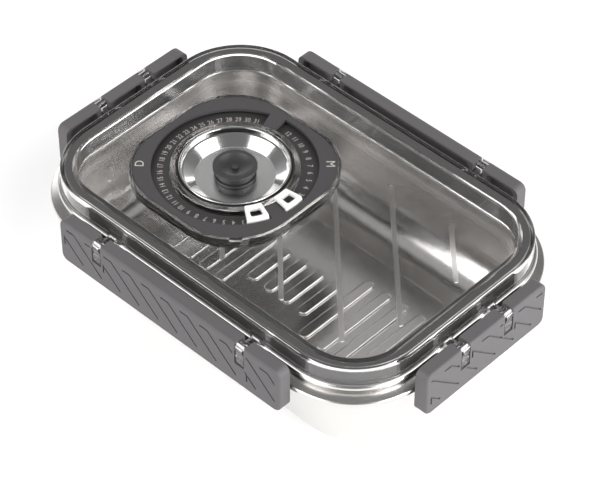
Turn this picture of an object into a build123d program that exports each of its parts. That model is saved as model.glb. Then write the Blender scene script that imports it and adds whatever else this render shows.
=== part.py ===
from build123d import *
import os
from math import ceil, floor, radians, sqrt, tan

# Overall sizes in millimetres. The origin is the middle of the base, +Z is up,
# +X runs along the long axis and the date dial sits towards -X.
total_height = 60.0
lid_length = 216.0
lid_width = 144.0
lid_corner_radius = 37.5
clip_reach = 13.0
overrun = 1.0
level_tolerance = 0.001

# Steel tub
sheet = 0.7
base_inset = 7.2
floor_fillet = 20.0
base_corner_extra = 3.0
wall_top_overhang = 3.6
shoulder_step = 1.7
shoulder_rise = 1.4
shoulder_edge_height = 1.8
neck_rise = 2.2
neck_length = 3.4
shoulder_fillet = 0.7
bead_radius = 1.7
panel_border = 5.8
panel_corner_radius = 18.0
panel_rise = 1.0
panel_fillet = 0.5
rib_bead_spacing = 11.2
rib_bead_gap = 4.8
rib_bead_height = 1.2
rib_bead_edge = 0.12
rib_bead_end_margin = 7.0
rib_bead_side_margin = 13.6
short_bead_share = 0.563
short_bead_pairs = 2

# Smoked clear lid
lid_wall = 2.2
skirt_height = 9.2
rim_width = 9.0
rim_wall = 2.0
rim_top_thickness = 2.4
tray_depth = 11.0
tray_corner_drop = 11.5
pane_thickness = 2.4
rim_edge_fillet = 1.2
tray_edge_fillet = 0.6
tray_floor_fillet = 1.6
ledge_width = 2.4
ledge_depth = 0.4
plug_edge_fillet = 0.8
seat_gap = 0.3
pane_rib_spacing = 38.2
pane_rib_shift = 10.3
pane_rib_width = 2.4
pane_rib_height = 0.5
pane_rib_shortest = 4.0
pane_rib_end_margin = 13.0
pane_rib_side_margin = 17.5

# Silicone lid seal
seal_gap = 0.3
seal_drop = 0.6
seal_lip_gap = 0.3
seal_lip_rise = 0.8
seal_lip_thickness = 0.6
seal_lip_spacing = 1.4
seal_lip_count = 2

# Side clips and the hooks of the lid that they hang on
clip_gap = 0.7
clip_top_drop = 3.0
clip_foot = 3.9
long_clip_length = 144.0
short_clip_length = 82.4
long_hinge_spacing = 93.6
short_hinge_spacing = 29.7
clip_corner_radius = 4.0
clip_edge_fillet = 1.4
notch_width = 6.0
notch_depth = 13.0
notch_gap = 0.7
bar_radius = 1.3
bar_clearance = 0.08
knuckle_radius = 2.9
knuckle_proud = 0.5
snap_slot_width = 2.2
lug_arm_thickness = 3.2
lug_root_depth = 1.4
lug_root_width = 8.4
lug_root_height = 5.4
tongue_thickness = 1.4
tongue_inset = 0.3
tongue_gap = 1.0
hook_gap = 0.45
hook_drop = 0.5
hook_lip_height = 1.3
hook_height = 4.6
hook_end_margin = 5.0
clip_step_height = 2.0
clip_step_width = 3.4
clip_face_thickness = 2.4
pocket_rib = 2.4
pocket_end_wall = 3.0
pocket_corner_radius = 2.5
pocket_top_wall = 1.3
pocket_hook_margin = 1.5
groove_width = 0.9
groove_depth = 0.6
groove_margin = 3.0
groove_notch_margin = 1.2
groove_spacing = 12.65
long_groove_shift = 1.3
short_groove_shift = 1.0
groove_top_margin = 4.4
groove_bottom_margin = 5.4
groove_flat = 5.0
groove_slope = 42.0
groove_return = 4.5

# Date dial
dial_margin = 13.7
housing_width = 91.6
housing_corner_radius = 33.0
housing_wall = 1.4
housing_floor = 0.8
housing_proud = 0.3
housing_edge_fillet = 0.5
pry_notch_width = 6.0
pry_notch_depth = 1.4
dial_band = 14.2
collar_wall = 3.2
collar_proud = 0.1
collar_edge_fillet = 0.6
fit_gap = 0.15
number_plate_thickness = 1.3
bezel_gap = 0.25
bezel_thickness = 1.6
bezel_skirt = 1.0
bezel_edge_fillet = 0.3
window_width = 9.0
day_window_start_angle = -20.0
day_window_end_angle = -250.6
month_window_start_angle = -8.9
month_window_end_angle = 97.3
slider_gap = 0.3
slider_half_angle = 8.0
pointer_corner_radius = 1.0
foot_extra_angle = 0.6
foot_overlap = 1.0
foot_thickness = 0.8
pointer_proud = 2.0
pointer_seat_gap = 0.2
pointer_overhang = 1.6
pointer_outer_gap = 0.8
pointer_wall = 1.2
pointer_hole_inner_margin = 3.3
pointer_hole_outer_margin = 1.6
pointer_hole_margin_angle = 3.4
pointer_fillet = 0.6
day_rest_angle = -29.2
month_rest_angle = 0.1

# Valve
dish_seal_thickness = 0.9
dish_seal_gap = 0.1
dish_seal_drop = 1.0
dish_rim_proud = 0.7
dish_rim_width = 1.0
dish_band_taper = 0.6
dish_band_depth = 2.6
dish_ledge_width = 0.8
dish_ledge_drop = 0.4
dish_cone_width = 5.4
dish_sink = 0.6
dish_floor = 0.8
dish_step_width = 4.9
well_floor = 2.0
well_wall = 2.0
dish_edge_fillet = 0.4
stem_radius = 3.0
stem_hole_gap = 0.3
vent_radius = 1.4
vent_circle = 6.8
vent_count = 4
valve_radius = 10.9
valve_height = 6.6
valve_seat_gap = 0.2
valve_foot_inset = 0.6
valve_foot_height = 1.6
valve_waist_inset = 1.2
valve_neck_taper = 0.9
valve_rim_height = 1.6
valve_rim_width = 2.2
valve_edge_fillet = 0.5
valve_bowl_depth = 2.4
valve_bowl_sag = 0.7
nub_radius = 1.6
nub_height = 1.1
barb_radius = 4.2
barb_height = 1.8
barb_tip_radius = 2.2
valve_travel = 1.5

# Heights and places worked out from the sizes above
skirt_bottom = total_height - skirt_height
bead_centre = skirt_bottom - seat_gap - bead_radius
neck_foot = bead_centre - neck_length
shoulder_high = neck_foot - neck_rise
shoulder_low = shoulder_high - shoulder_edge_height
wall_top_height = shoulder_low - shoulder_rise
shoulder_overhang = wall_top_overhang + shoulder_step
base_corner_radius = floor_fillet + base_corner_extra
wall_slope = (wall_top_overhang + base_inset) / wall_top_height
corner_slope = (lid_corner_radius + wall_top_overhang - base_corner_radius) / wall_top_height
panel_margin = base_inset + floor_fillet + panel_border
panel_length = lid_length - 2 * panel_margin
panel_width = lid_width - 2 * panel_margin
panel_top = sheet + panel_rise
rib_bead_width = rib_bead_spacing - rib_bead_gap
rib_bead_reach = panel_width / 2 - rib_bead_side_margin
rib_bead_pairs = floor((panel_length / 2 - rib_bead_end_margin) / rib_bead_spacing)
tray_corner_radius = lid_corner_radius - tray_corner_drop
pane_top = total_height - tray_depth
pane_bottom = pane_top - pane_thickness
channel_top = total_height - rim_top_thickness
seal_bottom = pane_bottom + seal_drop
clip_thickness = clip_reach - shoulder_overhang - clip_gap
clip_inner = clip_reach - clip_thickness
clip_top = total_height - clip_top_drop
hook_tip = wall_top_overhang + hook_gap
hook_top = wall_top_height - hook_drop
clip_bottom = hook_top - hook_height - clip_foot
clip_height = clip_top - clip_bottom
clip_middle = (clip_top + clip_bottom) / 2
bar_offset = clip_reach + knuckle_proud - knuckle_radius
bar_height = clip_top + knuckle_proud - knuckle_radius
lug_width = notch_width - 2 * notch_gap
tongue_length = bar_height - clip_top + notch_depth - tongue_gap
housing_bottom = pane_top + pane_rib_height
number_plate_bottom = housing_bottom + housing_floor
number_plate_top = number_plate_bottom + number_plate_thickness
foot_bottom = number_plate_top + slider_gap
bezel_bottom = foot_bottom + foot_thickness + slider_gap
bezel_top = bezel_bottom + bezel_thickness
housing_top = bezel_top + housing_proud
collar_top = bezel_top + collar_proud
plate_inset = housing_wall + bezel_gap
plate_width = housing_width - 2 * plate_inset
plate_corner_radius = housing_corner_radius - plate_inset
dial_offset = dial_margin + housing_width / 2 + rim_width - lid_length / 2
collar_radius = housing_width / 2 - dial_band
window_radius = collar_radius + window_width
dish_radius = collar_radius - collar_wall - dish_seal_thickness - 2 * dish_seal_gap
dish_lower_radius = dish_radius - dish_step_width
dish_top = bezel_top + dish_rim_proud
dish_floor_top = pane_top - dish_sink
dish_bottom = dish_floor_top - dish_floor
well_bottom = dish_bottom - well_floor
well_radius = dish_lower_radius + fit_gap
stem_hole_radius = stem_radius + stem_hole_gap

# Each side that carries a clip: its direction, its distance from the middle,
# the length of its clip, the spacing of its two hinge hooks and the shift of its grooves
long_clip = (lid_width / 2, long_clip_length, long_hinge_spacing, long_groove_shift)
short_clip = (lid_length / 2, short_clip_length, short_hinge_spacing, short_groove_shift)
sides = {
    "long_clip_front": (-90, *long_clip),
    "long_clip_back": (90, *long_clip),
    "short_clip_right": (0, *short_clip),
    "short_clip_left": (180, *short_clip),
}

os.makedirs("parts", exist_ok=True)


def save(builder, name):
    builder.part.label = name
    export_step(builder.part, f"parts/{name}.step")


def at_level(shapes, level):
    """Those of the faces or edges that lie flat at one height."""
    return shapes.filter_by_position(Axis.Z, level - level_tolerance, level + level_tolerance)


def rim_outline(offset):
    """Rounded rectangle that follows the lid's outline at an offset."""
    return RectangleRounded(
        lid_length + 2 * offset, lid_width + 2 * offset, lid_corner_radius + offset
    )


def tray_outline(offset):
    """Rounded rectangle that follows the sunken tray's edge at an offset."""
    return RectangleRounded(
        lid_length - 2 * rim_width + 2 * offset,
        lid_width - 2 * rim_width + 2 * offset,
        tray_corner_radius + offset,
    )


def cross_plane(angle):
    """Plane across one side of the box: local x points outwards, local y up."""
    outward = Vector(1, 0, 0).rotate(Axis.Z, angle)
    along = Vector(0, 1, 0).rotate(Axis.Z, angle)
    return Plane(origin=(0, 0, 0), x_dir=outward, z_dir=-along)


def face_plane(angle, distance):
    """Plane of one side of the box, seen from outside: local y is up."""
    outward = Vector(1, 0, 0).rotate(Axis.Z, angle)
    along = Vector(0, 1, 0).rotate(Axis.Z, angle)
    return Plane(origin=outward * distance, x_dir=along, z_dir=outward)


def dial_plane(level):
    """Level plane whose origin is the middle of the dial."""
    return Plane(origin=(dial_offset, 0, level))


def ring_sector(inner, outer, start, end):
    """Sector of a ring between two radii and two angles, about the origin."""
    with BuildSketch() as shape:
        with BuildLine():
            far = CenterArc((0, 0), outer, start, end - start)
            near = CenterArc((0, 0), inner, start, end - start)
            Line(far @ 0, near @ 0)
            Line(far @ 1, near @ 1)
        make_face()
    return shape.sketch


# Steel tub: drafted wall and floor, made as one bowl inside another
def bowl(inset, low, high, edge_radius):
    with BuildPart() as form:
        for level in (low, high):
            overhang = wall_slope * level - base_inset - inset
            corner = base_corner_radius + corner_slope * level - inset
            with BuildSketch(Plane.XY.offset(level)):
                RectangleRounded(lid_length + 2 * overhang, lid_width + 2 * overhang, corner)
        loft(ruled=True)
        fillet(form.faces().sort_by(Axis.Z)[0].edges(), edge_radius)
    return form.part


def floor_bead_places():
    """Centre x and half length of each raised bead of the floor panel."""
    places = []
    for pair in range(rib_bead_pairs):
        reach = rib_bead_reach * (short_bead_share if pair < short_bead_pairs else 1)
        for side in (-1, 1):
            places.append((side * (pair + 0.5) * rib_bead_spacing, reach))
    return places


with BuildPart() as tub:
    add(bowl(0, 0, wall_top_height, floor_fillet))
    add(
        bowl(sheet, sheet, wall_top_height + overrun, floor_fillet - sheet),
        mode=Mode.SUBTRACT,
    )
    # Shoulder, neck and rolled bead, swept round the opening
    with BuildLine() as opening:
        run = Line((lid_length / 2, 0), (lid_length / 2, lid_width / 2 - lid_corner_radius))
        for length in (lid_length, lid_width, lid_length, lid_width / 2 + lid_corner_radius):
            turn = JernArc(run @ 1, run % 1, lid_corner_radius, 90)
            run = Line(turn @ 1, turn @ 1 + (turn % 1) * (length - 2 * lid_corner_radius))
    with BuildSketch(Plane.XZ) as rim_section:
        edge = lid_length / 2
        neck = edge - bead_radius + sheet / 2
        with BuildLine():
            FilletPolyline(
                (edge + wall_top_overhang - sheet / 2, wall_top_height),
                (edge + shoulder_overhang - sheet / 2, shoulder_low),
                (edge + shoulder_overhang - sheet / 2, shoulder_high),
                (neck, neck_foot),
                (neck, bead_centre),
                radius=shoulder_fillet,
            )
        trace(line_width=sheet)
        with Locations((edge, bead_centre)):
            Circle(bead_radius)
    sweep(sections=rim_section.sketch, path=opening.wire())
    # Floor panel pushed up inside, with its rows of beads
    with BuildSketch(Plane.XY.offset(sheet)):
        RectangleRounded(
            panel_length + 2 * sheet, panel_width + 2 * sheet, panel_corner_radius + sheet
        )
    extrude(amount=panel_rise)
    fillet(at_level(tub.edges(), panel_top), panel_fillet)
    with BuildSketch(Plane.XY.offset(panel_top)):
        for x, reach in floor_bead_places():
            with Locations((x, 0)):
                SlotOverall(2 * reach, rib_bead_width, rotation=90)
    extrude(amount=rib_bead_height)
    bead_top = panel_top + rib_bead_height
    fillet(at_level(tub.edges(), bead_top), rib_bead_height - rib_bead_edge)
    with BuildSketch():
        RectangleRounded(panel_length, panel_width, panel_corner_radius)
    extrude(amount=panel_rise, mode=Mode.SUBTRACT)
    with BuildSketch():
        for x, reach in floor_bead_places():
            with Locations((x, 0)):
                SlotOverall(2 * (reach - sheet), rib_bead_width - 2 * sheet, rotation=90)
    extrude(amount=bead_top - sheet, mode=Mode.SUBTRACT)
save(tub, "tub")


# Smoked clear lid: flat rim, sunken pane with raised ribs, and the hinge hooks
def lug_outline(side_distance):
    """Arm, knuckle and hanging tongue of one hinge hook, across its side."""
    root = side_distance - lid_wall / 2
    pivot = side_distance + bar_offset
    tongue = side_distance + clip_reach - tongue_inset - tongue_thickness / 2
    with Locations(((root + pivot) / 2, skirt_bottom + lug_arm_thickness / 2)):
        Rectangle(pivot - root, lug_arm_thickness)
    with Locations((pivot, bar_height)):
        Circle(knuckle_radius)
    with Locations((tongue, bar_height - tongue_length / 2)):
        Rectangle(tongue_thickness, tongue_length)


def pane_rib_spans():
    """Middle point and length of each slanting rib, within the pane's margins."""
    reach_x = lid_length / 2 - rim_width - pane_rib_end_margin
    reach_y = lid_width / 2 - rim_width - pane_rib_side_margin
    steps = ceil((reach_x + reach_y) / pane_rib_spacing)
    spans = []
    for step in range(-steps, steps + 1):
        across = step * pane_rib_spacing - pane_rib_shift
        first_x = max(-reach_x, across - reach_y)
        last_x = min(reach_x, across + reach_y)
        middle_x = (first_x + last_x) / 2
        if last_x - first_x > pane_rib_shortest:
            spans.append(((middle_x, across - middle_x), (last_x - first_x) * sqrt(2)))
    return spans


with BuildPart() as lid:
    with BuildSketch(Plane.XY.offset(skirt_bottom)):
        rim_outline(0)
    extrude(amount=skirt_height - ledge_depth)
    fillet(lid.faces().sort_by(Axis.Z)[-1].edges(), rim_edge_fillet)
    with BuildSketch(Plane.XY.offset(channel_top)):
        rim_outline(-ledge_width)
    extrude(amount=rim_top_thickness)
    fillet(lid.faces().sort_by(Axis.Z)[-1].edges(), ledge_depth / 2)
    with BuildSketch(Plane.XY.offset(skirt_bottom)):
        rim_outline(-lid_wall)
    extrude(amount=channel_top - skirt_bottom, mode=Mode.SUBTRACT)
    # Plug that reaches into the tub, hollowed into the tray
    with BuildSketch(Plane.XY.offset(pane_bottom)):
        tray_outline(rim_wall)
    extrude(amount=channel_top - pane_bottom)
    fillet(lid.faces().sort_by(Axis.Z)[0].edges(), plug_edge_fillet)
    with BuildSketch(Plane.XY.offset(pane_top)):
        tray_outline(0)
    extrude(amount=tray_depth + overrun, mode=Mode.SUBTRACT)
    fillet(lid.faces().sort_by(Axis.Z)[-1].inner_wires()[0].edges(), tray_edge_fillet)
    fillet(at_level(lid.faces(), pane_top).edges(), tray_floor_fillet)
    with BuildSketch(Plane.XY.offset(pane_top)):
        for middle, length in pane_rib_spans():
            with Locations(middle):
                SlotOverall(length, pane_rib_width, rotation=-45)
    extrude(amount=pane_rib_height)
    # Well in the pane that the valve dish stands in, with the valve openings
    with BuildSketch(dial_plane(well_bottom)):
        Circle(well_radius + well_wall)
    extrude(amount=pane_top - well_bottom)
    with BuildSketch(dial_plane(dish_bottom)):
        Circle(well_radius)
    extrude(amount=housing_bottom - dish_bottom, mode=Mode.SUBTRACT)
    with BuildSketch(dial_plane(well_bottom)):
        Circle(stem_hole_radius)
        with PolarLocations(vent_circle, vent_count):
            Circle(vent_radius)
    extrude(amount=well_floor, mode=Mode.SUBTRACT)
    # Hinge hooks that the side clips hang on
    for angle, distance, _, spacing, _ in sides.values():
        for place in (-spacing / 2, spacing / 2):
            with BuildSketch(cross_plane(angle).offset(place)):
                lug_outline(distance)
            extrude(amount=lug_width / 2, both=True)
            with BuildSketch(cross_plane(angle).offset(place)):
                with Locations((distance, skirt_bottom + lug_root_height / 2)):
                    Rectangle(2 * lug_root_depth, lug_root_height)
            extrude(amount=lug_root_width / 2, both=True)
            with BuildSketch(cross_plane(angle).offset(place)):
                with Locations((distance + bar_offset, bar_height)):
                    Circle(bar_radius + bar_clearance)
                with Locations((distance + bar_offset, clip_top)):
                    Rectangle(snap_slot_width, 2 * knuckle_radius)
            extrude(amount=lug_width / 2 + overrun, both=True, mode=Mode.SUBTRACT)
save(lid, "lid")


# Silicone seal between the lid's rim and plug, with lips that face the neck
with BuildPart() as lid_gasket:
    with BuildSketch(Plane.XY.offset(seal_bottom)):
        rim_outline(-lid_wall - seal_gap)
    extrude(amount=channel_top - seal_gap - seal_bottom)
    for lip in range(seal_lip_count):
        with BuildSketch(Plane.XY.offset(seal_bottom + seal_lip_rise + lip * seal_lip_spacing)):
            rim_outline(-bead_radius - seal_lip_gap)
        extrude(amount=seal_lip_thickness)
    with BuildSketch(Plane.XY.offset(seal_bottom)):
        tray_outline(rim_wall + seal_gap / 2)
    extrude(amount=channel_top - seal_bottom, mode=Mode.SUBTRACT)
save(lid_gasket, "lid_gasket")


# Side clips: face plate, hook band, hinge bars and the grooves of the face
def pocket_spans(length, hook_spacing):
    """Start and end of each hollow in the back of a clip, between its notches."""
    keep = notch_width / 2 + pocket_rib
    inner = hook_spacing / 2 - keep
    outer = (hook_spacing / 2 + keep, length / 2 - pocket_end_wall)
    return [(-outer[1], -outer[0]), (-inner, inner), outer]


def groove_lines(length, hook_spacing, shift):
    """Lines that start level and bend down a slant, with upright returns beside a border."""
    top = clip_top - groove_top_margin
    low = clip_bottom + groove_bottom_margin
    steep = tan(radians(groove_slope))
    run = (top - low) / steep
    border = notch_width / 2 + groove_notch_margin + groove_width / 2
    end_edge = groove_margin + groove_width / 2 - length / 2
    edges = (end_edge, border - hook_spacing / 2, border + hook_spacing / 2)
    steps = ceil((length / 2 + run) / groove_spacing)
    paths = []
    for step in range(-steps, steps + 1):
        bend = shift + step * groove_spacing
        paths.append([(bend - groove_flat, top), (bend, top), (bend + run, low)])
        for edge in edges:
            level = top - (edge - bend) * steep
            if low + groove_return < level < top:
                paths.append([(edge, level), (edge, level - groove_return)])
    return paths


def groove_sketch(paths, length, hook_spacing):
    """Grooves along the paths, kept on the flat of the face and off its notches."""
    with BuildSketch() as pattern:
        for path in paths:
            with BuildLine() as line:
                Polyline(*path)
            trace(line.line, groove_width)
        with Locations((0, clip_middle)):
            Rectangle(
                length - 2 * groove_margin, clip_height - 2 * clip_edge_fillet, mode=Mode.INTERSECT
            )
        with Locations((-hook_spacing / 2, clip_top), (hook_spacing / 2, clip_top)):
            Rectangle(
                notch_width + 2 * groove_notch_margin,
                2 * (notch_depth + groove_notch_margin),
                mode=Mode.SUBTRACT,
            )
    return pattern.sketch


def side_clip(angle, distance, length, hook_spacing, grooves):
    """One clip in its closed place, hanging on the hinge hooks of its side."""
    notches = (-hook_spacing / 2, hook_spacing / 2)
    with BuildPart() as clip:
        with BuildSketch(face_plane(angle, distance + clip_inner)):
            with Locations((0, clip_middle)):
                RectangleRounded(length, clip_height, clip_corner_radius)
        extrude(amount=clip_thickness)
        outward = Axis((0, 0, 0), Vector(1, 0, 0).rotate(Axis.Z, angle))
        fillet(clip.faces().sort_by(outward)[-1].edges(), clip_edge_fillet)
        with BuildSketch(cross_plane(angle)):
            with BuildLine():
                Polyline(
                    (distance + clip_reach - clip_thickness / 2, hook_top),
                    (distance + hook_tip, hook_top),
                    (distance + hook_tip, hook_top - hook_lip_height),
                    (distance + clip_inner, hook_top - hook_height),
                    (distance + clip_reach - clip_thickness / 2, hook_top - hook_height),
                    close=True,
                )
            make_face()
        extrude(amount=length / 2 - hook_end_margin, both=True)
        with BuildSketch(cross_plane(angle)):
            with Locations((distance + clip_inner, clip_bottom)):
                Rectangle(2 * (clip_thickness - clip_step_width), 2 * clip_step_height)
        extrude(amount=length, both=True, mode=Mode.SUBTRACT)
        with BuildSketch(face_plane(angle, distance + clip_inner)):
            low = hook_top + pocket_hook_margin
            high = clip_top - pocket_top_wall
            for start, end in pocket_spans(length, hook_spacing):
                with Locations(((start + end) / 2, (low + high) / 2)):
                    RectangleRounded(end - start, high - low, pocket_corner_radius)
        extrude(amount=clip_thickness - clip_face_thickness, mode=Mode.SUBTRACT)
        with BuildSketch(face_plane(angle, distance + clip_inner - overrun)):
            with Locations(*[(place, clip_top) for place in notches]):
                Rectangle(notch_width, 2 * notch_depth)
        extrude(amount=clip_thickness + 2 * overrun, mode=Mode.SUBTRACT)
        for place in notches:
            with BuildSketch(cross_plane(angle).offset(place)):
                with Locations((distance + bar_offset, bar_height)):
                    Circle(bar_radius)
            extrude(amount=notch_width / 2 + bar_radius, both=True)
        with BuildSketch(face_plane(angle, distance + clip_reach)):
            add(grooves)
        extrude(amount=-groove_depth, mode=Mode.SUBTRACT)
    return clip


for name, (angle, distance, length, spacing, shift) in sides.items():
    grooves = groove_sketch(groove_lines(length, spacing, shift), length, spacing)
    save(side_clip(angle, distance, length, spacing, grooves), name)


# Clear dial housing: floor, outer wall and the collar round the valve dish
with BuildPart() as dial_housing:
    with BuildSketch(dial_plane(housing_bottom)):
        RectangleRounded(housing_width, housing_width, housing_corner_radius)
    extrude(amount=housing_top - housing_bottom)
    fillet(dial_housing.faces().sort_by(Axis.Z)[-1].edges(), housing_edge_fillet)
    with BuildSketch(dial_plane(number_plate_bottom)):
        RectangleRounded(
            housing_width - 2 * housing_wall,
            housing_width - 2 * housing_wall,
            housing_corner_radius - housing_wall,
        )
    extrude(amount=housing_top - housing_bottom, mode=Mode.SUBTRACT)
    with BuildSketch(dial_plane(housing_bottom)):
        Circle(collar_radius)
    extrude(amount=collar_top - housing_bottom)
    with BuildSketch(dial_plane(housing_bottom)):
        Circle(collar_radius - collar_wall)
    extrude(amount=collar_top - housing_bottom, mode=Mode.SUBTRACT)
    fillet(at_level(dial_housing.faces(), collar_top).edges(), collar_edge_fillet)
    # Notch for prising the bezel out, in the corner of the wall
    corner = housing_width / 2 - housing_corner_radius
    reach = corner + housing_corner_radius / sqrt(2)
    with BuildSketch(dial_plane(housing_top - pry_notch_depth)):
        with Locations((reach, -reach)):
            Rectangle(2 * housing_wall, pry_notch_width, rotation=-45)
    extrude(amount=pry_notch_depth + overrun, mode=Mode.SUBTRACT)
save(dial_housing, "dial_housing")


# Plate that carries the day and month numbers
with BuildPart() as number_plate:
    with BuildSketch(dial_plane(number_plate_bottom)):
        RectangleRounded(plate_width, plate_width, plate_corner_radius)
        Circle(collar_radius + fit_gap, mode=Mode.SUBTRACT)
    extrude(amount=number_plate_thickness)
save(number_plate, "number_plate")


# Bezel with one curved window over the days and one over the months
with BuildPart() as dial_bezel:
    with BuildSketch(dial_plane(number_plate_top)):
        RectangleRounded(plate_width, plate_width, plate_corner_radius)
    extrude(amount=bezel_top - number_plate_top)
    fillet(dial_bezel.faces().sort_by(Axis.Z)[-1].edges(), bezel_edge_fillet)
    with BuildSketch(dial_plane(number_plate_top)):
        RectangleRounded(
            plate_width - 2 * bezel_skirt,
            plate_width - 2 * bezel_skirt,
            plate_corner_radius - bezel_skirt,
        )
    extrude(amount=bezel_bottom - number_plate_top, mode=Mode.SUBTRACT)
    with BuildSketch(dial_plane(bezel_bottom)):
        Circle(collar_radius + fit_gap)
        add(
            ring_sector(
                collar_radius,
                window_radius,
                day_window_end_angle,
                day_window_start_angle,
            )
        )
        add(
            ring_sector(
                collar_radius,
                window_radius,
                month_window_start_angle,
                month_window_end_angle,
            )
        )
    extrude(amount=bezel_thickness, mode=Mode.SUBTRACT)
save(dial_bezel, "dial_bezel")


# Sliding pointers: a frame over the numbers, and a wall with a foot under the bezel
def slider(rest_angle):
    inner = collar_radius - pointer_overhang
    outer = window_radius - pointer_outer_gap
    wall = outer - pointer_wall
    frame_bottom = collar_top + pointer_seat_gap
    frame_height = bezel_top + pointer_proud - frame_bottom
    first = rest_angle - slider_half_angle
    last = rest_angle + slider_half_angle
    with BuildPart() as form:
        with BuildSketch(dial_plane(frame_bottom)) as frame:
            add(ring_sector(inner, outer, first, last))
            fillet(frame.vertices(), pointer_corner_radius)
        extrude(amount=frame_height)
        fillet(form.faces().sort_by(Axis.Z)[-1].edges(), pointer_fillet)
        with BuildSketch(dial_plane(foot_bottom)):
            add(ring_sector(wall, outer, first, last))
        extrude(amount=frame_bottom - foot_bottom)
        with BuildSketch(dial_plane(foot_bottom)):
            add(
                ring_sector(
                    wall, window_radius + foot_overlap, first - foot_extra_angle, last + foot_extra_angle
                )
            )
        extrude(amount=foot_thickness)
        with BuildSketch(dial_plane(frame_bottom)) as hole:
            add(
                ring_sector(
                    inner + pointer_hole_inner_margin,
                    outer - pointer_hole_outer_margin,
                    first + pointer_hole_margin_angle,
                    last - pointer_hole_margin_angle,
                )
            )
            fillet(hole.vertices(), pointer_corner_radius)
        extrude(amount=frame_height, mode=Mode.SUBTRACT)
    return form


save(slider(day_rest_angle), "day_slider")
save(slider(month_rest_angle), "month_slider")

# Turned valve dish, its seal and the valve plug stand on one upright axis
valve_section = Plane(origin=(dial_offset, 0, 0), x_dir=(1, 0, 0), z_dir=(0, -1, 0))
valve_axis = Axis((dial_offset, 0, 0), (0, 0, 1))

with BuildPart() as valve_dish:
    band_top = dish_radius - dish_rim_width
    band_foot = band_top - dish_band_taper
    ledge = band_foot - dish_ledge_width
    band_low = dish_top - dish_band_depth
    with BuildSketch(valve_section):
        with BuildLine():
            Polyline(
                (0, dish_bottom),
                (dish_lower_radius, dish_bottom),
                (dish_lower_radius, housing_bottom),
                (dish_radius, housing_bottom),
                (dish_radius, dish_top),
                (band_top, dish_top),
                (band_foot, band_low),
                (ledge, band_low - dish_ledge_drop),
                (ledge - dish_cone_width, dish_floor_top),
                (0, dish_floor_top),
                close=True,
            )
        make_face()
    revolve(axis=valve_axis)
    fillet(valve_dish.faces().sort_by(Axis.Z)[-1].edges(), dish_edge_fillet)
    with BuildSketch(dial_plane(dish_bottom)):
        Circle(stem_hole_radius)
        with PolarLocations(vent_circle, vent_count):
            Circle(vent_radius)
    extrude(amount=dish_floor, mode=Mode.SUBTRACT)
save(valve_dish, "valve_dish")

with BuildPart() as dish_seal:
    with BuildSketch(dial_plane(housing_bottom)):
        Circle(collar_radius - collar_wall - dish_seal_gap)
        Circle(dish_radius + dish_seal_gap, mode=Mode.SUBTRACT)
    extrude(amount=bezel_top - dish_seal_drop - housing_bottom)
save(dish_seal, "dish_seal")

with BuildPart() as valve_plug:
    cap_bottom = dish_floor_top + valve_seat_gap
    cap_top = cap_bottom + valve_height
    foot_top = cap_bottom + valve_foot_height
    rim_low = cap_top - valve_rim_height
    bowl_low = cap_top - valve_bowl_depth
    foot_radius = valve_radius - valve_foot_inset
    waist_radius = valve_radius - valve_waist_inset
    barb_top = well_bottom - valve_travel - valve_seat_gap
    with BuildSketch(valve_section):
        with BuildLine():
            SagittaArc((nub_radius, bowl_low), (valve_radius - valve_rim_width, cap_top), -valve_bowl_sag)
            Polyline(
                (valve_radius - valve_rim_width, cap_top),
                (valve_radius, cap_top),
                (valve_radius, rim_low),
                (waist_radius, rim_low - valve_neck_taper),
                (waist_radius, foot_top),
                (foot_radius, foot_top),
                (foot_radius, cap_bottom),
                (stem_radius, cap_bottom),
                (stem_radius, barb_top),
                (barb_radius, barb_top),
                (barb_tip_radius, barb_top - barb_height),
                (0, barb_top - barb_height),
                (0, bowl_low + nub_height),
                (nub_radius, bowl_low + nub_height),
                (nub_radius, bowl_low),
            )
        make_face()
    revolve(axis=valve_axis)
    fillet(valve_plug.faces().sort_by(Axis.Z)[-1].outer_wire().edges(), valve_edge_fillet)
save(valve_plug, "valve_plug")
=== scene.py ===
from math import cos, radians, sin

import bmesh
import bpy
from mathutils import Matrix, Vector


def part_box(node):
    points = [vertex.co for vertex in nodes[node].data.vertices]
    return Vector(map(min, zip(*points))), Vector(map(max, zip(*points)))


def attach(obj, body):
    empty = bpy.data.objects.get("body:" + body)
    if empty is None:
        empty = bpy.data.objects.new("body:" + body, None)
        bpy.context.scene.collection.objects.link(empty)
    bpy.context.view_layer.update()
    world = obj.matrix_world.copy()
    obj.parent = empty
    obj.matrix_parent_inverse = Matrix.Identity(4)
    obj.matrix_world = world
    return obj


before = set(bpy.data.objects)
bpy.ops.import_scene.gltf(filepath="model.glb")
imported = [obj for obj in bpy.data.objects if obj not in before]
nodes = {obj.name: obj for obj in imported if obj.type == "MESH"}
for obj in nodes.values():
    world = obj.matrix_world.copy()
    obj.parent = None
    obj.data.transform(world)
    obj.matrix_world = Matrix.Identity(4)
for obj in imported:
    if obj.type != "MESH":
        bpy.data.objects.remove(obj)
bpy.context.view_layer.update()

mm = 0.001
dialLow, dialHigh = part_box("dial_bezel")
dialCentre = (dialLow + dialHigh) / 2
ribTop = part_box("dial_housing")[0].z      # the dial's housing rests on the ribs of the lid's pane
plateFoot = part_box("number_plate")[0].z
bowlThickness = 0.8 * mm
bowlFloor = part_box("valve_dish")[0].z + bowlThickness
print("frame loaded:", len(nodes), "nodes")

# Camera, at the photograph's angle
cameraValues = {
    "azimuth": 43.72,      # degrees from the front, towards +X
    "elevation": 44.86,
    "distance": 1.2518,
    "aim": (0.02268, -0.0216, 0.06),
    "lens": 163.4,
    "sensor": 36.0,
    "near": 0.05,
    "far": 20,
}


def direction(azimuth, elevation):
    flat = cos(radians(elevation))
    return Vector((sin(radians(azimuth)) * flat, -cos(radians(azimuth)) * flat, sin(radians(elevation))))


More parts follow.
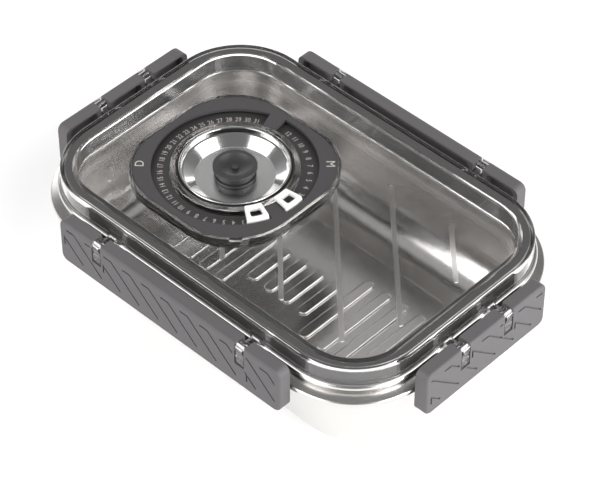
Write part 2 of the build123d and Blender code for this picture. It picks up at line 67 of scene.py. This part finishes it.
def makeCamera(values):
    camera = bpy.data.objects.new("camera", bpy.data.cameras.new("camera"))
    bpy.context.scene.collection.objects.link(camera)
    back = direction(values["azimuth"], values["elevation"])
    camera.location = Vector(values["aim"]) + back * values["distance"]
    camera.rotation_euler = (-back).to_track_quat("-Z", "Y").to_euler()
    camera.data.lens = values["lens"]
    camera.data.sensor_width = values["sensor"]
    camera.data.clip_start = values["near"]
    camera.data.clip_end = values["far"]
    bpy.context.scene.camera = camera


makeCamera(cameraValues)
bpy.context.scene.view_settings.view_transform = "Standard"


# Studio: two softboxes beside the camera, a low strip under each, one behind, a pale floor and world
lampDistance = 1.3
lightValues = {
    "softboxLeft": {"azimuth": -22, "elevation": 42, "wide": 1.2, "tall": 1.0, "power": 11},
    "softboxRight": {"azimuth": 112, "elevation": 42, "wide": 1.2, "tall": 1.0, "power": 12},
    "lowLeft": {"azimuth": -8, "elevation": 10, "wide": 1.2, "tall": 0.3, "power": 5},
    "lowRight": {"azimuth": 96, "elevation": 10, "wide": 1.2, "tall": 0.3, "power": 15},
    "backStrip": {"azimuth": 236, "elevation": 22, "wide": 1.3, "tall": 0.6, "power": 4},
}


def makeSoftbox(name, values):
    data = bpy.data.lights.new(name, "AREA")
    data.shape = "RECTANGLE"
    data.size = values["wide"]
    data.size_y = values["tall"]
    data.energy = values["power"]
    lamp = bpy.data.objects.new(name, data)
    bpy.context.scene.collection.objects.link(lamp)
    towards = direction(values["azimuth"], values["elevation"])
    lamp.location = towards * lampDistance
    lamp.rotation_euler = (-towards).to_track_quat("-Z", "Y").to_euler()
    lamp.visible_camera = False


for name, values in lightValues.items():
    makeSoftbox(name, values)


# Small helpers for node trees
def addNode(tree, kind, settings=None, inputs=None):
    node = tree.nodes.new(kind)
    for key, value in (settings or {}).items():
        setattr(node, key, value)
    for key, value in (inputs or {}).items():
        node.inputs[key].default_value = value
    return node


def ramp(tree, stops):
    node = tree.nodes.new("ShaderNodeValToRGB")
    elements = node.color_ramp.elements
    while len(elements) < len(stops):
        elements.new(0.5)
    for element, (place, grey) in zip(elements, stops):
        element.position = place
        element.color = (grey, grey, grey, 1)
    return node


# The world is white to the camera, and to the rest pale near the floor and grey above.
# Rays that come out through the clear lid see it partly white, which lights up the steel inside.
worldValues = {
    # greys from straight down at 0, by the horizon at 0.5, to straight up at 1
    "sky": [(0.0, 1.0), (0.50, 1.0), (0.58, 0.5), (0.72, 0.22), (0.9, 0.16), (1.0, 0.2)],
    "strength": 1.0,
    "lidFacesCrossed": 1.5,    # a ray mirrored by the steel crosses two faces of the lid
    "throughLid": 0.6,         # how far rays that passed the clear lid see plain white
    "floorAlbedo": 0.8,
    "floorGlow": 0.3,
    "floorReach": 6.0,
}


def makeWorld(values):
    world = bpy.data.worlds.new("studio")
    bpy.context.scene.world = world
    world.use_nodes = True
    tree = world.node_tree
    tree.nodes.clear()
    place = addNode(tree, "ShaderNodeTexCoord")
    parts = addNode(tree, "ShaderNodeSeparateXYZ")
    height = addNode(tree, "ShaderNodeMapRange", inputs={"From Min": -1, "From Max": 1})
    sky = ramp(tree, values["sky"])
    path = addNode(tree, "ShaderNodeLightPath")
    seen = addNode(tree, "ShaderNodeBackground", inputs={"Color": (1, 1, 1, 1), "Strength": 1})
    lit = addNode(tree, "ShaderNodeBackground", inputs={"Strength": values["strength"]})
    mix = addNode(tree, "ShaderNodeMixShader")
    out = addNode(tree, "ShaderNodeOutputWorld")
    tree.links.new(place.outputs["Generated"], parts.inputs["Vector"])
    tree.links.new(parts.outputs["Z"], height.inputs["Value"])
    tree.links.new(height.outputs["Result"], sky.inputs["Fac"])
    tree.links.new(sky.outputs["Color"], lit.inputs["Color"])
    limit = {1: values["lidFacesCrossed"]}
    crossed = addNode(tree, "ShaderNodeMath", {"operation": "GREATER_THAN"}, limit)
    mirrored = addNode(tree, "ShaderNodeMath", {"operation": "MULTIPLY"})
    passed = addNode(tree, "ShaderNodeMath", {"operation": "MAXIMUM"})
    through = addNode(tree, "ShaderNodeMath", {"operation": "MULTIPLY"}, {1: values["throughLid"]})
    white = addNode(tree, "ShaderNodeMath", {"operation": "MAXIMUM"})
    tree.links.new(path.outputs["Is Transmission Ray"], passed.inputs[0])
    tree.links.new(path.outputs["Transparent Depth"], crossed.inputs[0])
    tree.links.new(crossed.outputs[0], mirrored.inputs[0])
    tree.links.new(path.outputs["Is Glossy Ray"], mirrored.inputs[1])
    tree.links.new(mirrored.outputs[0], passed.inputs[1])
    tree.links.new(passed.outputs[0], through.inputs[0])
    tree.links.new(path.outputs["Is Camera Ray"], white.inputs[0])
    tree.links.new(through.outputs[0], white.inputs[1])
    tree.links.new(white.outputs[0], mix.inputs["Fac"])
    tree.links.new(lit.outputs["Background"], mix.inputs[1])
    tree.links.new(seen.outputs["Background"], mix.inputs[2])
    tree.links.new(mix.outputs["Shader"], out.inputs["Surface"])


def makeFloor(values):
    bm = bmesh.new()
    bmesh.ops.create_grid(bm, x_segments=1, y_segments=1, size=values["floorReach"])
    mesh = bpy.data.meshes.new("floor")
    bm.to_mesh(mesh)
    bm.free()
    floor = bpy.data.objects.new("floor", mesh)
    bpy.context.scene.collection.objects.link(floor)
    material = bpy.data.materials.new("paleFloor")
    material.use_nodes = True
    tree = material.node_tree
    tree.nodes.clear()
    albedo = values["floorAlbedo"]
    matt = addNode(tree, "ShaderNodeBsdfDiffuse", inputs={"Color": (albedo, albedo, albedo, 1)})
    glow = addNode(tree, "ShaderNodeEmission", inputs={"Strength": values["floorGlow"]})
    both = addNode(tree, "ShaderNodeAddShader")
    path = addNode(tree, "ShaderNodeLightPath")
    glossy = addNode(tree, "ShaderNodeMath", {"operation": "MAXIMUM"})
    seen = addNode(tree, "ShaderNodeMath", {"operation": "MAXIMUM"})
    mix = addNode(tree, "ShaderNodeMixShader")
    out = addNode(tree, "ShaderNodeOutputMaterial")
    tree.links.new(path.outputs["Is Camera Ray"], glossy.inputs[0])
    tree.links.new(path.outputs["Is Glossy Ray"], glossy.inputs[1])
    tree.links.new(glossy.outputs[0], seen.inputs[0])
    tree.links.new(path.outputs["Is Transmission Ray"], seen.inputs[1])
    tree.links.new(matt.outputs[0], both.inputs[0])
    tree.links.new(glow.outputs[0], both.inputs[1])
    tree.links.new(seen.outputs[0], mix.inputs["Fac"])
    tree.links.new(matt.outputs[0], mix.inputs[1])
    tree.links.new(both.outputs[0], mix.inputs[2])
    tree.links.new(mix.outputs[0], out.inputs["Surface"])
    mesh.materials.append(material)


makeWorld(worldValues)
makeFloor(worldValues)
print("studio made")


# Effects that several materials share
def makeGroup(name, inputs, outputs):
    group = bpy.data.node_groups.new(name, "ShaderNodeTree")
    for label, kind, value in inputs:
        socket = group.interface.new_socket(label, in_out="INPUT", socket_type=kind)
        if value is not None:
            socket.default_value = value
    for label, kind in outputs:
        group.interface.new_socket(label, in_out="OUTPUT", socket_type=kind)
    return group, addNode(group, "NodeGroupInput"), addNode(group, "NodeGroupOutput")


def mouldGrainGroup():
    # fine grain of a moulded face, and the broad patches where hands polish it
    group, given, result = makeGroup(
        "mouldGrain",
        [
            ("Position", "NodeSocketVector", None),
            ("Grain Scale", "NodeSocketFloat", 2600),
            ("Patch Scale", "NodeSocketFloat", 40),
        ],
        [("Grain", "NodeSocketFloat"), ("Patches", "NodeSocketFloat")],
    )
    grain = addNode(group, "ShaderNodeTexNoise", inputs={"Detail": 3, "Roughness": 0.6})
    patches = addNode(group, "ShaderNodeTexNoise", inputs={"Detail": 4, "Roughness": 0.55})
    for texture, scale, label in ((grain, "Grain Scale", "Grain"), (patches, "Patch Scale", "Patches")):
        group.links.new(given.outputs["Position"], texture.inputs["Vector"])
        group.links.new(given.outputs[scale], texture.inputs["Scale"])
        group.links.new(texture.outputs["Fac"], result.inputs[label])
    return group


def metalGrainGroup():
    # fine scratches drawn out along one direction, and faint smears over them
    group, given, result = makeGroup(
        "metalGrain",
        [
            ("Position", "NodeSocketVector", None),
            ("Stretch", "NodeSocketVector", (60, 60, 2600)),
            ("Smear Scale", "NodeSocketFloat", 18),
        ],
        [("Lines", "NodeSocketFloat"), ("Smears", "NodeSocketFloat")],
    )
    stretch = addNode(group, "ShaderNodeVectorMath", {"operation": "MULTIPLY"})
    lines = addNode(group, "ShaderNodeTexNoise", inputs={"Scale": 1, "Detail": 3, "Roughness": 0.65})
    smears = addNode(group, "ShaderNodeTexNoise", inputs={"Detail": 5, "Roughness": 0.6, "Distortion": 0.6})
    group.links.new(given.outputs["Position"], stretch.inputs[0])
    group.links.new(given.outputs["Stretch"], stretch.inputs[1])
    group.links.new(stretch.outputs["Vector"], lines.inputs["Vector"])
    group.links.new(given.outputs["Position"], smears.inputs["Vector"])
    group.links.new(given.outputs["Smear Scale"], smears.inputs["Scale"])
    group.links.new(lines.outputs["Fac"], result.inputs["Lines"])
    group.links.new(smears.outputs["Fac"], result.inputs["Smears"])
    return group


def turnedRingsGroup():
    # fine rings that a lathe leaves round an upright axis
    group, given, result = makeGroup(
        "turnedRings",
        [
            ("Position", "NodeSocketVector", None),
            ("Centre", "NodeSocketVector", (0, 0, 0)),
            ("Rings", "NodeSocketFloat", 600),
        ],
        [("Rings", "NodeSocketFloat")],
    )
    shift = addNode(group, "ShaderNodeVectorMath", {"operation": "SUBTRACT"})
    wave = addNode(
        group,
        "ShaderNodeTexWave",
        {"wave_type": "RINGS", "rings_direction": "Z"},
        {"Distortion": 1.5, "Detail": 2, "Detail Scale": 0.2},
    )
    group.links.new(given.outputs["Position"], shift.inputs[0])
    group.links.new(given.outputs["Centre"], shift.inputs[1])
    group.links.new(shift.outputs["Vector"], wave.inputs["Vector"])
    group.links.new(given.outputs["Rings"], wave.inputs["Scale"])
    group.links.new(wave.outputs["Fac"], result.inputs["Rings"])
    return group


mouldGrain = mouldGrainGroup()
metalGrain = metalGrainGroup()
turnedRings = turnedRingsGroup()


def startMaterial(name, sockets):
    material = bpy.data.materials.new(name)
    material.use_nodes = True
    tree = material.node_tree
    shader = tree.nodes["Principled BSDF"]
    for label, value in sockets.items():
        shader.inputs[label].default_value = value
    place = addNode(tree, "ShaderNodeTexCoord")
    return material, tree, shader, place


def useGroup(tree, group, place, values):
    node = addNode(tree, "ShaderNodeGroup", {"node_tree": group}, values)
    tree.links.new(place.outputs["Object"], node.inputs["Position"])
    return node


noiseLow, noiseHigh = 0.3, 0.7     # most of a noise's values lie between these


def linkRange(tree, source, target, low, high):
    limits = {"From Min": noiseLow, "From Max": noiseHigh, "To Min": low, "To Max": high}
    node = addNode(tree, "ShaderNodeMapRange", inputs=limits)
    tree.links.new(source, node.inputs["Value"])
    tree.links.new(node.outputs["Result"], target)


def linkColours(tree, source, target, first, second):
    node = addNode(tree, "ShaderNodeMix", {"data_type": "RGBA"})
    node.inputs["A"].default_value = (*first, 1)
    node.inputs["B"].default_value = (*second, 1)
    tree.links.new(source, node.inputs["Factor"])
    tree.links.new(node.outputs["Result"], target)


def linkBump(tree, source, shader, depth):
    node = addNode(tree, "ShaderNodeBump", inputs={"Distance": depth})
    tree.links.new(source, node.inputs["Height"])
    tree.links.new(node.outputs["Normal"], shader.inputs["Normal"])


def mouldedPlastic(name, values):
    material, tree, shader, place = startMaterial(name, values["sockets"])
    scales = {"Grain Scale": values["grainScale"], "Patch Scale": values["patchScale"]}
    grain = useGroup(tree, mouldGrain, place, scales)
    linkColours(tree, grain.outputs["Patches"], shader.inputs["Base Color"], values["dark"], values["light"])
    linkRange(tree, grain.outputs["Patches"], shader.inputs["Roughness"], *values["roughness"])
    linkBump(tree, grain.outputs["Grain"], shader, values["grainDepth"])
    return material


def drawnMetal(name, values):
    material, tree, shader, place = startMaterial(name, values["sockets"])
    scales = {"Stretch": values["stretch"], "Smear Scale": values["smearScale"]}
    grain = useGroup(tree, metalGrain, place, scales)
    linkColours(tree, grain.outputs["Smears"], shader.inputs["Base Color"], values["dark"], values["light"])
    linkRange(tree, grain.outputs["Smears"], shader.inputs["Roughness"], *values["roughness"])
    linkBump(tree, grain.outputs["Lines"], shader, values["lineDepth"])
    return material


def levelMask(tree, place, low, high):
    # one on surfaces between two heights, nothing elsewhere
    parts = addNode(tree, "ShaderNodeSeparateXYZ")
    above = addNode(tree, "ShaderNodeMath", {"operation": "GREATER_THAN"}, {1: low})
    below = addNode(tree, "ShaderNodeMath", {"operation": "LESS_THAN"}, {1: high})
    both = addNode(tree, "ShaderNodeMath", {"operation": "MULTIPLY"})
    tree.links.new(place.outputs["Object"], parts.inputs["Vector"])
    tree.links.new(parts.outputs["Z"], above.inputs[0])
    tree.links.new(parts.outputs["Z"], below.inputs[0])
    tree.links.new(above.outputs[0], both.inputs[0])
    tree.links.new(below.outputs[0], both.inputs[1])
    return both.outputs[0]


def turnedMetal(name, values):
    material, tree, shader, place = startMaterial(name, values["sockets"])
    smears = useGroup(tree, metalGrain, place, {"Smear Scale": values["smearScale"]})
    rings = useGroup(tree, turnedRings, place, {"Centre": dialCentre, "Rings": values["rings"]})
    linkColours(tree, smears.outputs["Smears"], shader.inputs["Base Color"], values["dark"], values["light"])
    bowl = levelMask(tree, place, *values["bowlLevels"])
    rough = addNode(tree, "ShaderNodeMath", {"operation": "MULTIPLY_ADD"}, {1: values["bowlDulled"]})
    tree.links.new(bowl, rough.inputs[0])
    linkRange(tree, smears.outputs["Smears"], rough.inputs[2], *values["roughness"])
    tree.links.new(rough.outputs[0], shader.inputs["Roughness"])
    linkBump(tree, rings.outputs["Rings"], shader, values["ringDepth"])
    # a lathe's rings draw every reflection out across them
    along = addNode(tree, "ShaderNodeTangent", {"direction_type": "RADIAL", "axis": "Z"})
    tree.links.new(along.outputs["Tangent"], shader.inputs["Tangent"])
    return material


def clearPlastic(name, values):
    material, tree, shader, place = startMaterial(name, values["sockets"])
    scales = {"Grain Scale": values["grainScale"], "Patch Scale": values["patchScale"]}
    grain = useGroup(tree, mouldGrain, place, scales)
    linkColours(tree, grain.outputs["Patches"], shader.inputs["Base Color"], values["dark"], values["light"])
    limits = {"To Min": values["clear"], "To Max": values["satin"]}
    rough = addNode(tree, "ShaderNodeMapRange", inputs=limits)
    tree.links.new(levelMask(tree, place, *values["satinLevels"]), rough.inputs["Value"])
    tree.links.new(rough.outputs["Result"], shader.inputs["Roughness"])
    linkBump(tree, grain.outputs["Patches"], shader, values["rippleDepth"])
    # the camera sees a bending clear solid, and lamps shine straight through it
    path = addNode(tree, "ShaderNodeLightPath")
    looked = addNode(tree, "ShaderNodeMath", {"operation": "MAXIMUM"})
    solid = addNode(tree, "ShaderNodeMapRange", inputs={"To Min": 1 - values["lightPasses"]})
    tree.links.new(path.outputs["Is Camera Ray"], looked.inputs[0])
    tree.links.new(path.outputs["Is Transmission Ray"], looked.inputs[1])
    tree.links.new(looked.outputs[0], solid.inputs["Value"])
    tree.links.new(solid.outputs["Result"], shader.inputs["Alpha"])
    return material


steelValues = {
    "sockets": {"Metallic": 1.0},
    "dark": (0.66, 0.645, 0.63),
    "light": (0.74, 0.725, 0.71),
    "roughness": (0.19, 0.26),
    "stretch": (30, 30, 500),
    "smearScale": 16,
    "lineDepth": 0.0003 * mm,
}
steel = drawnMetal("tubSteel", steelValues)

dishValues = {
    "sockets": {"Metallic": 1.0, "Anisotropic": 0.8},
    "dark": (0.72, 0.72, 0.72),
    "light": (0.80, 0.80, 0.79),
    "roughness": (0.08, 0.11),
    "bowlDulled": 0.16,      # added on the bowl's flat floor
    "bowlLevels": (bowlFloor - 0.1 * mm, bowlFloor + 0.1 * mm),
    "smearScale": 60,
    "rings": 600,
    "ringDepth": 0.003 * mm,
}
dishSteel = turnedMetal("dishSteel", dishValues)

lidValues = {
    "sockets": {"Transmission Weight": 1.0, "IOR": 1.5},
    "dark": (0.68, 0.67, 0.67),
    "light": (0.72, 0.71, 0.71),
    "clear": 0.01,
    "satin": 0.35,           # tops of the pane's ribs
    "satinLevels": (ribTop - 0.2 * mm, ribTop + 0.1 * mm),
    "grainScale": 2600,
    "patchScale": 14,
    "rippleDepth": 0.02 * mm,
    "lightPasses": 1.0,
}
lidClear = clearPlastic("smokedClear", lidValues)

housingValues = {
    "sockets": {"Transmission Weight": 1.0, "IOR": 1.5},
    "dark": (0.36, 0.35, 0.35),
    "light": (0.40, 0.39, 0.39),
    "clear": 0.02,
    "satin": 0.3,            # face that the number plate lies on
    "satinLevels": (plateFoot - 0.1 * mm, plateFoot + 0.1 * mm),
    "grainScale": 2600,
    "patchScale": 30,
    "rippleDepth": 0.01 * mm,
    "lightPasses": 0.6,
}
housingClear = clearPlastic("housingClear", housingValues)

clipValues = {
    "sockets": {"Specular IOR Level": 0.4},
    "dark": (0.098, 0.093, 0.097),
    "light": (0.116, 0.110, 0.114),
    "roughness": (0.5, 0.58),
    "grainScale": 3000,
    "patchScale": 45,
    "grainDepth": 0.03 * mm,
}
clipPlastic = mouldedPlastic("clipPlastic", clipValues)

bezelValues = {
    "sockets": {"Specular IOR Level": 0.4},
    "dark": (0.053, 0.049, 0.052),
    "light": (0.061, 0.057, 0.060),
    "roughness": (0.45, 0.55),
    "grainScale": 3400,
    "patchScale": 60,
    "grainDepth": 0.015 * mm,
}
bezelPlastic = mouldedPlastic("bezelPlastic", bezelValues)

plateValues = {
    "sockets": {"Specular IOR Level": 0.4},
    "dark": (0.041, 0.039, 0.041),
    "light": (0.048, 0.046, 0.048),
    "roughness": (0.45, 0.55),
    "grainScale": 3400,
    "patchScale": 60,
    "grainDepth": 0.01 * mm,
}
platePlastic = mouldedPlastic("platePlastic", plateValues)

sliderValues = {
    "sockets": {"Specular IOR Level": 0.5, "Coat Weight": 0.2},
    "dark": (0.86, 0.86, 0.84),
    "light": (0.92, 0.92, 0.90),
    "roughness": (0.3, 0.38),
    "grainScale": 3000,
    "patchScale": 120,
    "grainDepth": 0.005 * mm,
}
sliderPlastic = mouldedPlastic("sliderPlastic", sliderValues)

sealValues = {
    "sockets": {"Specular IOR Level": 0.4},
    "dark": (0.075, 0.074, 0.074),
    "light": (0.095, 0.093, 0.093),
    "roughness": (0.5, 0.65),
    "grainScale": 2200,
    "patchScale": 50,
    "grainDepth": 0.02 * mm,
}
sealSilicone = mouldedPlastic("sealSilicone", sealValues)

# the dish's seal ring is black silicone, made near-black so that it also carries the shade in the narrow gap
# between the collar and the dish: partly its own colour, partly painted shade
dishSealAndShadeValues = {
    "sockets": {"Specular IOR Level": 0.3},
    "dark": (0.015, 0.015, 0.015),
    "light": (0.022, 0.022, 0.022),
    "roughness": (0.5, 0.65),
    "grainScale": 2200,
    "patchScale": 50,
    "grainDepth": 0.02 * mm,
}
dishSealAndShade = mouldedPlastic("dishSealAndShade", dishSealAndShadeValues)

valveValues = {
    "sockets": {"Specular IOR Level": 0.5},
    "dark": (0.030, 0.029, 0.030),
    "light": (0.042, 0.040, 0.042),
    "roughness": (0.36, 0.46),
    "grainScale": 2600,
    "patchScale": 90,
    "grainDepth": 0.015 * mm,
}
valveSilicone = mouldedPlastic("valveSilicone", valveValues)

inkValues = {
    "sockets": {"Specular IOR Level": 0.3},
    "dark": (0.50, 0.46, 0.43),
    "light": (0.58, 0.54, 0.50),
    "roughness": (0.6, 0.7),
    "grainScale": 3000,
    "patchScale": 200,
    "grainDepth": 0.004 * mm,
}
printInk = mouldedPlastic("printInk", inkValues)
print("materials made")


# Finish of each CAD node
finishes = {
    "tub": steel,
    "lid": lidClear,
    "lid_gasket": sealSilicone,
    "long_clip_front": clipPlastic,
    "long_clip_back": clipPlastic,
    "short_clip_right": clipPlastic,
    "short_clip_left": clipPlastic,
    "dial_housing": housingClear,
    "number_plate": platePlastic,
    "dial_bezel": bezelPlastic,
    "day_slider": sliderPlastic,
    "month_slider": sliderPlastic,
    "valve_dish": dishSteel,
    "dish_seal": dishSealAndShade,
    "valve_plug": valveSilicone,
}
for name, material in finishes.items():
    nodes[name].data.materials.clear()
    nodes[name].data.materials.append(material)
print("nodes dressed")


# Printed numbers and letters of the dial
printValues = {
    "numberRadius": 36.1 * mm,
    "numberHeight": 4.0 * mm,
    "numberWidth": 0.78,     # of the plain letter's width
    "letterRadius": 45.8 * mm,
    "letterHeight": 6.2 * mm,
    "letterWidth": 0.95,
    "thickness": 0.03 * mm,
    "firstDay": -24.8,       # degrees, counted from +X towards +Y
    "dayStep": -7.25,
    "days": 31,
    "firstMonth": -0.6,
    "monthStep": 8.15,
    "months": 12,
    "letters": {"D": 222, "M": 45},
}


def addText(bm, text, height, width, angle, radius, base, thickness):
    curve = bpy.data.curves.new("print", "FONT")
    curve.body = text
    curve.size = height
    curve.align_x = "CENTER"
    curve.align_y = "CENTER"
    curve.extrude = thickness / 2
    shape = bpy.data.objects.new("print", curve)
    bpy.context.scene.collection.objects.link(shape)
    bpy.context.view_layer.update()
    mesh = bpy.data.meshes.new_from_object(shape.evaluated_get(bpy.context.evaluated_depsgraph_get()))
    bpy.data.objects.remove(shape)
    middle = dialCentre + direction(angle + 90, 0) * radius
    turn = Matrix.Rotation(radians(angle - 90), 4, "Z")
    narrow = Matrix.Diagonal((width, 1, 1, 1))
    place = Matrix.Translation((middle.x, middle.y, base + thickness / 2)) @ turn @ narrow
    mesh.transform(place)
    bm.from_mesh(mesh)
    bpy.data.meshes.remove(mesh)


def finishPiece(bm, name, material, body):
    mesh = bpy.data.meshes.new(name)
    bm.to_mesh(mesh)
    bm.free()
    piece = bpy.data.objects.new(name, mesh)
    bpy.context.scene.collection.objects.link(piece)
    mesh.materials.append(material)
    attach(piece, body)


def printRow(name, count, first, step, values):
    bm = bmesh.new()
    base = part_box("number_plate")[1].z
    size = (values["numberHeight"], values["numberWidth"])
    for number in range(count):
        angle = first + number * step
        addText(bm, str(number + 1), *size, angle, values["numberRadius"], base, values["thickness"])
    finishPiece(bm, name, printInk, "lid")


def printLetters(values):
    bm = bmesh.new()
    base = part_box("dial_bezel")[1].z
    size = (values["letterHeight"], values["letterWidth"])
    for letter, angle in values["letters"].items():
        addText(bm, letter, *size, angle, values["letterRadius"], base, values["thickness"])
    finishPiece(bm, "dialLetters", printInk, "lid")


for name, count, first, step in (
    ("dayNumbers", "days", "firstDay", "dayStep"),
    ("monthNumbers", "months", "firstMonth", "monthStep"),
):
    printRow(name, printValues[count], printValues[first], printValues[step], printValues)
printLetters(printValues)
print("dial printed")
